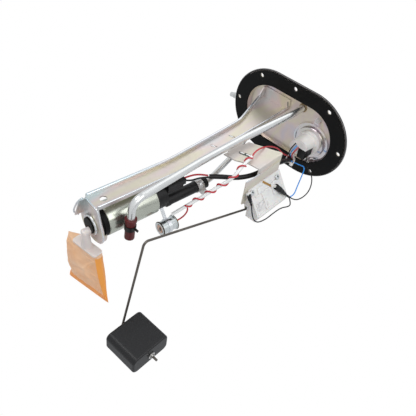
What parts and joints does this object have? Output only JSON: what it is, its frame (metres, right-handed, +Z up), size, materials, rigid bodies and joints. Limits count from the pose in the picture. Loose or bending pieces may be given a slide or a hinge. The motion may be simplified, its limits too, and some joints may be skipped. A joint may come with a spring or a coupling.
{
  "type": "fuel pump module",
  "caption": "Flange-mounted in-tank fuel pump module: sealed plate, channel hanger, electric pump with strainer sock, tubes, low-level sensor and a float-arm level sender.",
  "frame": {"origin": "centre of the flange's bolt pattern on its sealing face", "axes": "+X along the flange's long side, +Z up out of the tank, +Y from the open side of the channel to its back; the pump hangs towards -Z"},
  "size_m": [0.2178, 0.1843, 0.3845],
  "materials": {
    "zinc_plate": "zinc plated with a faint yellow and pink sheen",
    "gasket_rubber": "matt black",
    "tube_steel": "drawn tube, dull",
    "braze": "dull braze",
    "hose_red": "dark red",
    "clamp_steel": "bright",
    "clamp_black": "black",
    "pump_shell": "satin",
    "pump_black": "black moulding",
    "hose_black": "black",
    "white_plastic": "white moulding",
    "sock_fabric": "fine orange mesh",
    "can_metal": "bright",
    "copper": "bright contact metal",
    "foam_black": "closed-cell foam, satin",
    "wire_steel": "bare spring wire",
    "red_wire": "insulation",
    "blue_wire": "insulation",
    "black_wire": "insulation",
    "clear_sleeve": "translucent white",
    "magnet": "dark ferrite",
    "winding": "enamelled copper on dark laminations",
    "carbon": "carbon",
    "card": "ceramic with printed track",
    "dark_plug": "black moulding"
  },
  "bodies": {
    "base": {"flange_plate": "zinc_plate", "flange_gasket": "gasket_rubber", "channel_bracket": "zinc_plate", "sender_bracket": "zinc_plate", "return_tube": "tube_steel", "outlet_tube": "tube_steel", "braze_rings": "braze", "return_hose": "hose_red", "return_hose_clamp": "clamp_black", "pump_shell": "pump_shell", "pump_cushion": "gasket_rubber", "pump_inlet_cap": "pump_black", "pump_end_cap": "pump_black", "pump_plug": "pump_black", "outlet_hose": "hose_black", "outlet_hose_clamp": "clamp_steel", "valve_spring": "clamp_steel", "pump_magnets": "magnet", "pump_bearings": "carbon", "pump_brushes": "carbon", "strainer_neck": "white_plastic", "strainer_sock": "sock_fabric", "sensor_can": "can_metal", "sensor_cap": "can_metal", "sensor_terminal": "copper", "thermistor_bead": "carbon", "sensor_bracket": "zinc_plate", "sender_plate": "zinc_plate", "sender_housing": "white_plastic", "resistor_card": "card", "pivot_bush": "copper", "sender_contact": "copper", "sender_screws": "clamp_steel", "connector_retainer": "zinc_plate", "connector_body": "white_plastic", "connector_pins": "copper", "connector_screws": "clamp_steel", "ring_terminal": "clamp_steel", "harness_plug": "dark_plug", "boots": "black_wire", "cable_tie": "white_plastic", "lead_sleeve": "black_wire", "pump_lead_red": "red_wire", "pump_lead_black": "black_wire", "sensor_lead_sleeve": "clear_sleeve", "sensor_wire": "red_wire", "sender_wire_blue": "blue_wire", "sender_wire_black": "black_wire", "sender_wire_link": "black_wire", "connector_lead_black": "black_wire", "connector_lead_blue": "blue_wire", "connector_lead_red": "red_wire"},
    "rotor": {"armature": "winding", "rotor_shaft": "clamp_steel", "impeller": "carbon"},
    "valve": {"check_valve": "white_plastic"},
    "arm": {"float_arm": "wire_steel", "float_nut": "clamp_steel", "wiper": "copper"},
    "float": {"float": "foam_black"}
  },
  "joints": [
    {"name": "pump_rotor", "type": "hinge", "parent": "base", "child": "rotor", "pos_m": [-0.02668, 0.0135, -0.26715], "axis": [0.1256, 0, 0.9921], "continuous": true},
    {"name": "check_valve_lift", "type": "slide", "parent": "base", "child": "valve", "axis": [0.1256, 0, 0.9921], "range_m": [0, 0.002], "stiffness_N_per_m": 120, "springref_m": -0.003, "deforming": ["valve_spring"]},
    {"name": "float_arm_lift", "type": "hinge", "parent": "base", "child": "arm", "pos_m": [0.05, 0.042, -0.131], "axis": [1, 0, 0], "range_deg": [0, 80]},
    {"name": "float_swivel", "type": "hinge", "parent": "arm", "child": "float", "pos_m": [0.074, 0.0913, -0.338], "axis": [1, 0, 0], "continuous": true}
  ]
}
